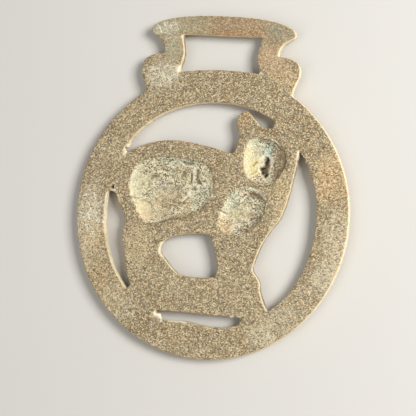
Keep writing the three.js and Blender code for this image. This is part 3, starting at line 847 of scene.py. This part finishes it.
class Clay:
    """The casting's skin as arrays of points, to smooth and push like clay."""

    def __init__(self, obj: bpy.types.Object) -> None:
        """Reads a mesh.

        Args:
            obj: the object that has it.
        """
        self.mesh = obj.data
        count = len(self.mesh.vertices)
        self.points = np.empty(count * 3)
        self.mesh.vertices.foreach_get("co", self.points)
        self.points = self.points.reshape(-1, 3)
        ends = np.empty(len(self.mesh.edges) * 2, dtype=np.int32)
        self.mesh.edges.foreach_get("vertices", ends)
        self.ends = ends.reshape(-1, 2)
        self.neighbours = np.maximum(1, np.bincount(ends, minlength=count))

    def normals(self) -> np.ndarray:
        """Measures which way the skin faces.

        Returns:
            The outward direction at each point.
        """
        self.write()
        out = np.empty(len(self.points) * 3, dtype=np.float32)
        self.mesh.vertex_normals.foreach_get("vector", out)
        return out.reshape(-1, 3).astype(float)

    def smooth(self, share: np.ndarray, rounds: int) -> None:
        """Moves each point towards the middle of its neighbours.

        Args:
            share: how far each point moves, 0 to 1.
            rounds: how many times.
        """
        first, second = self.ends[:, 0], self.ends[:, 1]
        count = len(self.points)
        for _ in range(rounds):
            middle = np.empty_like(self.points)
            for axis in range(3):
                column = self.points[:, axis]
                middle[:, axis] = np.bincount(first, weights=column[second], minlength=count)
                middle[:, axis] += np.bincount(second, weights=column[first], minlength=count)
            middle /= self.neighbours[:, None]
            self.points += (middle - self.points) * share[:, None]

    def recess(self, scale: float) -> np.ndarray:
        """How far each point lies in a dip, from 0 on a ridge to 1 in a groove, and 0.5 where it is level.

        Args:
            scale: the depth, in millimetres, that counts as a full groove.

        Returns:
            The share for each point.
        """
        normals = self.normals()
        kept = self.points.copy()
        self.smooth(np.full(len(kept), 0.5), 6)
        dip = ((self.points - kept) * normals).sum(axis=1)
        self.points = kept
        return np.clip(0.5 + 0.5 * dip / scale, 0.0, 1.0)

    def write(self) -> None:
        """Puts the points back into the mesh."""
        self.mesh.vertices.foreach_set("co", self.points.ravel())
        self.mesh.update()

    def mark(self, name: str, share: np.ndarray) -> None:
        """Stores a share for each point as an attribute that the finish reads."""
        attribute = self.mesh.attributes.new(name, "FLOAT", "POINT")
        attribute.data.foreach_set("value", share.astype(np.float32))


@dataclass
class HorseBrass:
    """The whole casting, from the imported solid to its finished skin.

    The voxel is the remesh's grain, and the pinhole has half sizes. The openings' walls, which lie within
    inner_share of the band's width or slot_reach of the slot's middle, are bright down to bright_depth and
    brown from brown_depth.
    """

    voxel: float = 0.25
    adaptivity: float = 0.05
    pinhole_at: tuple[float, float] = (-27.32, 5.5)
    pinhole_size: tuple[float, float] = (0.3, 0.46)
    hollow_depth: float = 2.4
    inner_share: float = 0.385
    slot_y: float = 42.0
    slot_reach: tuple[float, float] = (12.0, 6.5)
    bright_depth: float = 0.7
    brown_depth: float = 1.5
    hollows: tuple[Hollow, ...] = (
        Hollow(-11.0, 5.5, 13.4, 10.4),
        Hollow(14.4, 14.8, 7.0, 7.4),
        Hollow(9.4, 1.0, 7.4, 8.6),
    )
    burrs: tuple[Burr, ...] = (
        Burr(-11.3, -27.35, 0.5, 1.0, 0.72, 0.75, -0.25),
        Burr(-12.4, -27.05, 0.5, 0.5, 0.36, 0.6, -0.3),
        Burr(-10.3, -28.3, 0.5, 0.3, 0.5, 0.5),
        Burr(11.15, -27.9, 0.5, 0.6, 0.55, 0.7),
        Burr(8.95, -25.65, 0.5, 0.4, 0.38, 0.6),
        Burr(-23.85, 17.0, 0.7, 0.34, 0.95, 0.7, -0.64),
        Burr(-24.75, 15.05, 0.6, 0.5, 0.75, 0.65, -0.3),
        Burr(-25.7, 14.4, 0.5, 0.5, 0.6, 0.55, -0.5),
        Burr(-11.6, 37.4, 0.4, 0.5, 0.5, 0.5),
        Burr(24.35, 17.05, 0.5, 0.42, 0.6, 0.65, 0.3),
        Burr(24.95, 16.4, 0.5, 0.48, 0.5, 0.65),
        Burr(25.5, 15.2, 0.5, 0.45, 0.62, 0.65),
        Burr(26.3, 13.9, 0.5, 0.45, 0.7, 0.65, 0.3),
        Burr(26.8, 12.5, 0.5, 0.45, 0.65, 0.65, 0.3),
        Burr(27.35, 11.2, 0.5, 0.42, 0.7, 0.65, 0.3),
        Burr(27.85, 9.9, 0.5, 0.38, 0.7, 0.65, 0.3),
    )
    ragged: tuple[Zone, ...] = (
        Zone(24.6, 15.6, 3.4, 3.4, 4.0),
        Zone(-11.5, -27.0, 2.5, 1.6, 2.0),
        Zone(11.0, -27.0, 1.8, 1.8, 2.5),
        Zone(-24.6, 15.8, 3.0, 3.4, 3.5),
        Zone(-27.4, 4.4, 1.4, 1.6, 2.0),
        Zone(15.5, 24.0, 3.0, 2.0, 1.6),
        Zone(-31.0, -6.0, 3.0, 12.0, 1.0),
        Zone(-11.8, 42.0, 1.6, 6.0, 1.0),
    )
    calm: tuple[Zone, ...] = (
        Zone(-21.8, 7.4, 3.8, 7.6, 0.6),
        Zone(-18.6, -0.6, 3.6, 4.6, 0.8),
        Zone(-12.6, 3.6, 6.4, 5.4, 0.25),
        Zone(-13.4, -1.2, 5.0, 2.8, 0.35),
        Zone(10.4, 15.4, 3.4, 8.0, 0.62),
        Zone(5.4, 0.0, 3.4, 6.0, 0.35),
        Zone(9.4, 1.4, 3.4, 3.2, 0.4),
        Zone(19.0, 14.5, 3.0, 7.0, 0.7),
    )
    finish: AgedBrass = AgedBrass()

    def __post_init__(self) -> None:
        """Reads the casting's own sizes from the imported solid."""
        self.low, self.high = (np.array(corner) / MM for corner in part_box("horse_brass"))
        self.back = self.high[2]
        self.centre_y = self.low[1] + (self.high[0] - self.low[0]) / 2.0

    def copy_solid(self) -> bpy.types.Object:
        """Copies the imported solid.

        Returns:
            One closed mesh, in millimetres from the band's middle.
        """
        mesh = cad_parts["horse_brass"].data.copy()
        mesh.transform(Matrix.Translation((0.0, -self.centre_y, 0.0)) @ Matrix.Scale(1.0 / MM, 4))
        obj = bpy.data.objects.new("horse_brass_cast", mesh)
        bpy.context.scene.collection.objects.link(obj)
        only(obj)
        bpy.ops.object.mode_set(mode="EDIT")
        bpy.ops.mesh.select_all(action="SELECT")
        bpy.ops.mesh.remove_doubles(threshold=0.002)
        bpy.ops.object.mode_set(mode="OBJECT")
        return obj

    def pinhole(self, obj: bpy.types.Object) -> None:
        """Opens the small casting fault above the gap behind the tail.

        Args:
            obj: the casting.
        """
        bpy.ops.object.select_all(action="DESELECT")
        through = 2.0 * self.back
        at = (*self.pinhole_at, 0.5 * self.back)
        bpy.ops.mesh.primitive_cylinder_add(vertices=12, radius=1.0, depth=through, location=at)
        drill = bpy.context.object
        drill.scale = (*self.pinhole_size, 1.0)
        only(obj)
        cut = obj.modifiers.new("pinhole", "BOOLEAN")
        cut.operation = "DIFFERENCE"
        cut.object = drill
        bpy.ops.object.modifier_apply(modifier=cut.name)
        bpy.data.objects.remove(drill)

    def grow_burrs(self, obj: bpy.types.Object) -> None:
        """Joins the lumps of flash onto the casting.

        Args:
            obj: the casting.
        """
        for burr in self.burrs:
            bpy.ops.object.select_all(action="DESELECT")
            at = (burr.x, burr.y, self.back - burr.depth)
            turn = (0.0, 0.0, burr.turn)
            bpy.ops.mesh.primitive_ico_sphere_add(subdivisions=3, radius=1.0, location=at, rotation=turn)
            lump = bpy.context.object
            lump.scale = (burr.across, burr.along, burr.thick)
            only(obj)
            lump.select_set(True)
            bpy.ops.object.join()

    def remesh(self, obj: bpy.types.Object) -> None:
        """Gives the casting one skin, fine where it curves and at its edges.

        Args:
            obj: the casting.
        """
        only(obj)
        even = obj.modifiers.new("even_skin", "REMESH")
        even.mode = "VOXEL"
        even.voxel_size = self.voxel
        even.adaptivity = self.adaptivity
        bpy.ops.object.modifier_apply(modifier=even.name)

    def over_hollows(self, points: np.ndarray) -> np.ndarray:
        """Whether each point is over any hollow."""
        return np.any([hollow.holds(points) for hollow in self.hollows], axis=0)

    def soften(self, obj: bpy.types.Object) -> None:
        """Rounds the edges and takes the facets out of the hollows and the front's relief.

        Args:
            obj: the casting.
        """
        clay = Clay(obj)
        clay.smooth(np.full(len(clay.points), 0.35), 2)
        normals = clay.normals()
        front = smooth_step(normals[:, 2], -0.25, -0.6)
        hollow = smooth_step(self.back - clay.points[:, 2], 0.1, 0.35) * self.over_hollows(clay.points)
        clay.smooth(0.5 * hollow, 10)
        clay.smooth(0.5 * front, 7)
        clay.write()

    def refine(self, obj: bpy.types.Object, near: tuple[Stroke, ...] = ()) -> None:
        """Halves the skin's faces in the hollows, which take the finest modelling.

        Args:
            obj: the casting.
            near: if any strokes are given, only faces near them are halved.
        """
        faces = obj.data.polygons
        middles = np.empty(len(faces) * 3, dtype=np.float32)
        faces.foreach_get("center", middles)
        middles = middles.reshape(-1, 3)
        normals = np.empty(len(faces) * 3, dtype=np.float32)
        faces.foreach_get("normal", normals)
        shallow = self.back - middles[:, 2] < self.hollow_depth
        inside = self.over_hollows(middles) & (normals[2::3] > 0.1) & shallow
        if near:
            chosen = np.flatnonzero(inside)
            drawn = middles[chosen, :2].astype(float)
            drawn[:, 0] += LEAN * (self.back - middles[chosen, 2])
            share = np.max([mark.reach(drawn) for mark in near], axis=0)
            inside[chosen[share < 0.12]] = False
        only(obj)
        bpy.ops.object.mode_set(mode="EDIT")
        bpy.ops.mesh.select_mode(type="FACE")
        bpy.ops.mesh.select_all(action="DESELECT")
        bpy.ops.object.mode_set(mode="OBJECT")
        faces.foreach_set("select", inside)
        bpy.ops.object.mode_set(mode="EDIT")
        bpy.ops.mesh.subdivide(number_cuts=1)
        bpy.ops.object.mode_set(mode="OBJECT")

    def roughen_edges(self, clay: Clay) -> None:
        """Makes the upright edges a little uneven, and more so where the mould was poor.

        Args:
            clay: the skin.
        """
        normals = clay.normals()
        edge = smooth_step(np.abs(normals[:, 2]), 0.85, 0.5)
        chosen = np.flatnonzero(edge > 0.02)
        at = clay.points[chosen]
        rough = np.ones(len(chosen))
        for patch in self.ragged:
            rough += patch.share(at)
        push = (0.06 * ripple(at, 1.6, 2, 2.0) + 0.05 * ripple(at, 0.6, 2, 6.0)) * rough * edge[chosen]
        clay.points[chosen, :2] += normals[chosen, :2] * push[:, None]

    def roughen_hollows(self, clay: Clay, hollow: np.ndarray) -> None:
        """Gives the hollows their lumps, grain and pits.

        Args:
            clay: the skin.
            hollow: how much of them each point takes.
        """
        chosen = np.flatnonzero(hollow > 0.02)
        at = clay.points[chosen]
        lift = 0.05 * ripple(at, 3.4, 2, 4.0) + 0.03 * ripple(at, 1.1, 3, 9.0)
        lift += 0.022 * ripple(at, 0.45, 2, 14.0)
        crowd = smooth_step(ripple(at, 3.0, 2, 21.0), -0.45, 0.25)
        busy = np.clip(1.0 - sum(zone.share(at) for zone in self.calm), 0.0, 1.0)
        pits = smooth_step(speckle(at, 0.8, 3.0), 0.3, 0.12) * crowd
        fine = smooth_step(speckle(at, 0.5, 8.0), 0.26, 0.1) * (1.0 - 0.5 * crowd)
        change = lift * (0.4 + 0.6 * busy) - (0.12 * pits + 0.06 * fine) * busy
        clay.points[chosen, 2] += change * hollow[chosen]
        crust = np.zeros(len(clay.points))
        crust[chosen] = (0.62 + 0.38 * crowd) * busy
        clay.mark("crust", crust)

    def strike(
        self, clay: Clay, marks: tuple[Stroke, ...], side: np.ndarray, way: float, stray: float, lean: float,
    ) -> dict[str, np.ndarray]:
        """Presses strokes into one side.

        Args:
            clay: the skin.
            marks: the strokes.
            side: how much of each stroke each point takes.
            way: how strongly they stand out, under 0 on a side that faces down.
            stray: how far the strokes wander from their lines, in millimetres.
            lean: how far left the strokes move for each millimetre of depth.

        Returns:
            The pale, dark and pit colour of the strokes on each point: flash, scratches and painted highlight
            in the pale, and painted shade in the dark and pit colour.
        """
        chosen = np.flatnonzero(side > 0.02)
        at = clay.points[chosen]
        flat = at[:, :2].copy()
        flat[:, 0] += stray * ripple(at, 1.0, 3, 51.0) + lean * (self.back - at[:, 2])
        flat[:, 1] += stray * ripple(at, 1.0, 3, 71.0)
        left = {name: np.zeros(len(clay.points)) for name in ("pale", "dark", "pit")}
        for mark in marks:
            share = mark.reach(flat) * side[chosen]
            clay.points[chosen, 2] += way * 0.5 * mark.height * share
            for name, colour in left.items():
                colour[chosen] = np.maximum(colour[chosen], getattr(mark, name) * share)
        return left

    def wear(self, obj: bpy.types.Object) -> None:
        """Models the fine relief and stores the masks that the finish reads.

        Args:
            obj: the casting.
        """
        clay = Clay(obj)
        self.roughen_edges(clay)
        normals = clay.normals()
        over = self.over_hollows(clay.points)
        depth = self.back - clay.points[:, 2]
        basin = smooth_step(depth, 0.03, 0.3) * over * smooth_step(normals[:, 2], 0.1, 0.35)
        front = smooth_step(normals[:, 2], -0.25, -0.6)
        self.roughen_hollows(clay, basin)
        up = smooth_step(normals[:, 2], 0.2, 0.5)
        cast = self.strike(clay, BARREL_MARKS + BOWL_MARKS, up * over, 1.0, 0.14, LEAN)
        edge = self.strike(clay, EDGE_MARKS, smooth_step(normals[:, 2], -0.4, 0.1), 1.0, 0.12, 0.0)
        self.strike(clay, front_marks(), front, -2.0, 0.06, 0.0)

        recess = clay.recess(0.055)
        hollow = np.zeros(len(depth))
        near = np.flatnonzero(over & (depth > 0.001))
        ragged = depth[near] + 0.2 * ripple(clay.points[near], 0.9, 3, 33.0)
        hollow[near] = smooth_step(ragged, 0.1, 0.42) * up[near]
        wall = np.clip(1.0 - smooth_step(normals[:, 2], 0.3, 0.75) - front, 0.0, 1.0) * (1.0 - over * up)
        low = self.low - (0.0, self.centre_y, 0.0)
        high = self.high - (0.0, self.centre_y, 0.0)
        above = clay.points[:, 2].min()
        clay.points[:, 2] -= above * smooth_step(clay.points[:, 2], 1.6, 0.3)
        clay.points = np.clip(clay.points, low, high)
        rim = smooth_step(normals[:, 2], 0.97, 0.8) * smooth_step(normals[:, 2], 0.25, 0.5)
        clay.mark("rim", rim * (1.0 - over))
        clay.mark("grit", 1.0 - 0.4 * smooth_step(clay.points[:, 1], 37.0, 42.0))
        clay.mark("back", up * (1.0 - hollow))
        clay.mark("hollow", hollow)
        clay.mark("wall", wall)
        x, y, _ = clay.points.T
        inner = np.hypot(x, y) < self.inner_share * (self.high[0] - self.low[0])
        inner |= (np.abs(x) < self.slot_reach[0]) & (np.abs(y - self.slot_y) < self.slot_reach[1])
        reach = self.back - clay.points[:, 2] + 0.3 * ripple(clay.points, 1.2, 2, 44.0) * (wall > 0.1)
        clay.mark("deep", smooth_step(reach, self.bright_depth, self.brown_depth) * inner)
        clay.mark("front", front)
        clay.mark("recess", recess)
        for name in cast:
            clay.mark(name, np.maximum(cast[name], edge[name]))
        clay.write()

    def place(self, obj: bpy.types.Object) -> None:
        """Puts the finished mesh into the part's frame, in metres.

        Args:
            obj: the casting.
        """
        obj.data.transform(Matrix.Scale(MM, 4) @ Matrix.Translation((0.0, self.centre_y, 0.0)))
        obj.data.polygons.foreach_set("use_smooth", [True] * len(obj.data.polygons))
        obj.data.update()

    def build(self) -> bpy.types.Object:
        """Models, dresses and registers the casting.

        Returns:
            The finished object.
        """
        obj = self.copy_solid()
        self.pinhole(obj)
        self.grow_burrs(obj)
        self.remesh(obj)
        self.soften(obj)
        self.refine(obj)
        self.refine(obj, BARREL_MARKS + BOWL_MARKS)
        self.wear(obj)
        self.place(obj)
        obj.data.materials.clear()
        obj.data.materials.append(self.finish.build(self.centre_y, self.back))
        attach(obj, "root")
        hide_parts("horse_brass")
        return obj


@dataclass
class Studio:
    """A plain pale floor and soft light from the right."""

    floor_side: float = 1.6
    key_at: tuple[float, float, float] = (0.42, 0.10, 0.40)
    key_size: float = 0.22
    key_power: float = 4.6
    fill_at: tuple[float, float, float] = (-0.35, -0.25, 0.55)
    fill_size: float = 0.5
    fill_power: float = 1.0
    sky: float = 0.4
    sky_colour: Colour = (1.0, 0.99, 0.97)

    def floor(self) -> bpy.types.Object:
        """Lays the floor that the casting lies on.

        Returns:
            The floor.
        """
        bpy.ops.object.select_all(action="DESELECT")
        bpy.ops.mesh.primitive_plane_add(size=self.floor_side)
        floor = bpy.context.object
        floor.name = "studio_floor"
        floor.data.materials.append(FloorPaint().build())
        return floor

    def softbox(self, name: str, at: Vector, size: float, power: float) -> bpy.types.Object:
        """Hangs a square soft light that points at the casting.

        Args:
            name: its name.
            at: where it hangs, in metres.
            size: its side, in metres.
            power: its power, in watts.

        Returns:
            The light.
        """
        lamp = bpy.data.lights.new(name, "AREA")
        lamp.size = size
        lamp.energy = power
        obj = bpy.data.objects.new(name, lamp)
        obj.location = at
        obj.rotation_euler = (-at).to_track_quat("-Z", "Y").to_euler()
        bpy.context.scene.collection.objects.link(obj)
        return obj

    def light(self) -> None:
        """Lights the casting from the right, with a weak fill and an even sky."""
        self.softbox("key", Vector(self.key_at), self.key_size, self.key_power)
        self.softbox("fill", Vector(self.fill_at), self.fill_size, self.fill_power)
        world = bpy.data.worlds.new("studio")
        world.use_nodes = True
        sky = world.node_tree.nodes["Background"]
        sky.inputs["Color"].default_value = (*self.sky_colour, 1.0)
        sky.inputs["Strength"].default_value = self.sky
        bpy.context.scene.world = world
        bpy.context.scene.view_settings.view_transform = "Standard"


@dataclass(frozen=True)
class PhotoCamera:
    """The photograph's view of the back, leaning to the casting's right. Angles are in degrees."""

    target: tuple[float, float, float] = (0.00023, -0.00558, 0.0038)
    distance: float = 0.300
    lean_right: float = 20.32
    lean_down: float = 2.29
    roll: float = 4.78
    lens: float = 100.18
    sensor: float = 36.0

    def build(self) -> bpy.types.Object:
        """Makes the camera and gives it to the scene.

        Returns:
            The camera.
        """
        turn = (
            Matrix.Rotation(math.radians(self.lean_right), 4, "Y")
            @ Matrix.Rotation(math.radians(self.lean_down), 4, "X")
            @ Matrix.Rotation(math.radians(self.roll), 4, "Z")
        )
        data = bpy.data.cameras.new("photo_camera")
        data.sensor_width = self.sensor
        data.lens = self.lens
        data.clip_start = 0.01
        obj = bpy.data.objects.new("photo_camera", data)
        away = Matrix.Translation((0.0, 0.0, self.distance))
        obj.matrix_world = Matrix.Translation(self.target) @ turn @ away
        bpy.context.scene.collection.objects.link(obj)
        bpy.context.scene.camera = obj
        return obj


def main() -> None:
    """Builds the casting, the studio and the camera."""
    logging.basicConfig(level=logging.INFO, format="%(name)s: %(message)s")
    casting = HorseBrass().build()
    triangles = sum(len(face.vertices) - 2 for face in casting.data.polygons)
    log.info("%s has %d triangles", casting.name, triangles)
    studio = Studio()
    log.info("%s laid", studio.floor().name)
    studio.light()
    log.info("%s placed", PhotoCamera().build().name)


if __name__ == "__main__":
    main()
